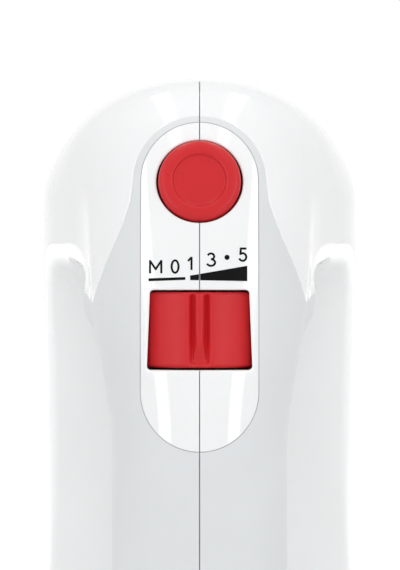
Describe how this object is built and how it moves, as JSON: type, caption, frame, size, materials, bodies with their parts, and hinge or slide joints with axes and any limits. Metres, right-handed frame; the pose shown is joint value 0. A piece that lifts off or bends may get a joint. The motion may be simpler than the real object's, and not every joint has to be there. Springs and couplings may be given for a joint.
{
  "type": "hand mixer",
  "caption": "Hand-held electric mixer with a closed-loop handle, a top eject button, a roll-type speed selector and two plug-in wire beaters.",
  "frame": {"origin": "on the flat of the heel pad that the parked mixer stands on, where the motor's axis meets it", "axes": "+Z along the motor's axis from heel to nose, -Y out of the top of the grip, +Y down through the beaters, +X across the casing halves"},
  "size_m": [0.085, 0.2541, 0.1999],
  "materials": {
    "casing": "gloss white moulded plastic",
    "pad": "matte dark grey rubber",
    "steel": "bright steel",
    "chrome": "polished chrome plate",
    "dark_plastic": "dark grey moulded plastic",
    "ivory_plastic": "natural moulded plastic",
    "red_plastic": "glossy red plastic",
    "brass": "brass sheet",
    "circuit_board": "green laminate",
    "dark_epoxy": "moulded component cases",
    "aluminium": "extruded aluminium",
    "film_case": "yellow plastic case",
    "ferrite_winding": "enamelled copper wire on ferrite",
    "lead_insulation": "blue insulated wire",
    "core_steel": "varnished steel laminations",
    "copper_wire": "enamelled copper winding",
    "copper": "copper segments",
    "sintered_bronze": "oil-filled sintered bronze",
    "phenolic": "brown phenolic board",
    "carbon": "carbon graphite",
    "gear_nylon": "white nylon",
    "fan_plastic": "grey moulded plastic"
  },
  "bodies": {
    "casing": {"housing_left": "casing", "housing_right": "casing", "heel_pad": "pad", "housing_screws": "steel", "cord_inlet_bush": "dark_plastic", "terminal_block": "ivory_plastic", "eject_guide": "ivory_plastic", "eject_spring": "steel", "slider_axle": "steel", "switch_base": "ivory_plastic", "switch_contacts": "brass", "speed_pcb": "circuit_board", "pcb_parts": "dark_epoxy", "triac_heatsink": "aluminium", "suppression_capacitor": "film_case", "suppression_chokes": "ferrite_winding", "motor_leads": "lead_insulation", "stator_core": "core_steel", "field_coils": "copper_wire", "rear_bearing": "sintered_bronze", "front_bearing": "sintered_bronze", "rear_bracket": "aluminium", "front_bracket": "aluminium", "motor_bolts": "steel", "brush_plate": "phenolic", "brush_holders": "brass", "carbon_brushes": "carbon", "brush_springs": "steel", "gearbox_base": "ivory_plastic", "gearbox_cover": "ivory_plastic", "gearbox_screws": "steel", "hub_bushes": "sintered_bronze"},
    "eject": {"eject_button": "red_plastic", "eject_fork": "dark_plastic"},
    "selector": {"speed_slider": "red_plastic", "switch_wiper": "brass"},
    "armature": {"rotor_core": "core_steel", "rotor_windings": "copper_wire", "commutator": "copper", "motor_shaft": "steel", "worm": "steel", "fan": "fan_plastic"},
    "left_gear": {"gear_left": "gear_nylon"},
    "right_gear": {"gear_right": "gear_nylon"},
    "left_pin": {"eject_pin_left": "steel"},
    "right_pin": {"eject_pin_right": "steel"},
    "left_beater": {"beater_shaft_left": "chrome", "beater_collar_left": "dark_plastic", "beater_wires_left": "chrome"},
    "right_beater": {"beater_shaft_right": "chrome", "beater_collar_right": "dark_plastic", "beater_wires_right": "chrome"}
  },
  "joints": [
    {"name": "eject_press", "type": "slide", "parent": "casing", "child": "eject", "axis": [0, 0.9781, -0.2079], "range_m": [0, 0.006], "stiffness_N_per_m": 600, "springref_m": -0.003, "deforming": ["eject_spring"]},
    {"name": "speed_select", "type": "hinge", "parent": "casing", "child": "selector", "pos_m": [0, -0.0822, 0.136], "axis": [0, 0, 1], "range_deg": [-25, 25]},
    {"name": "motor_spin", "type": "hinge", "parent": "casing", "child": "armature", "pos_m": [0, 0, 0.1], "axis": [0, 0, 1], "continuous": true},
    {"name": "left_gear_spin", "type": "hinge", "parent": "casing", "child": "left_gear", "pos_m": [-0.0175, 0, 0.157], "axis": [0, 1, 0], "continuous": true},
    {"name": "right_gear_spin", "type": "hinge", "parent": "casing", "child": "right_gear", "pos_m": [0.0175, 0, 0.157], "axis": [0, 1, 0], "continuous": true},
    {"name": "left_pin_slide", "type": "slide", "parent": "left_gear", "child": "left_pin", "axis": [0, 1, 0], "range_m": [0, 0.0059]},
    {"name": "right_pin_slide", "type": "slide", "parent": "right_gear", "child": "right_pin", "axis": [0, 1, 0], "range_m": [0, 0.0059]},
    {"name": "left_beater_pull", "type": "slide", "parent": "left_pin", "child": "left_beater", "axis": [0, 1, 0], "range_m": [0, 0.07]},
    {"name": "right_beater_pull", "type": "slide", "parent": "right_pin", "child": "right_beater", "axis": [0, 1, 0], "range_m": [0, 0.07]}
  ],
  "couplings": [
    {"joint": "left_gear_spin", "follows": "motor_spin", "ratio": 0.05},
    {"joint": "right_gear_spin", "follows": "motor_spin", "ratio": -0.05},
    {"joint": "left_pin_slide", "follows": "eject_press", "ratio": 0.97815},
    {"joint": "right_pin_slide", "follows": "eject_press", "ratio": 0.97815}
  ]
}
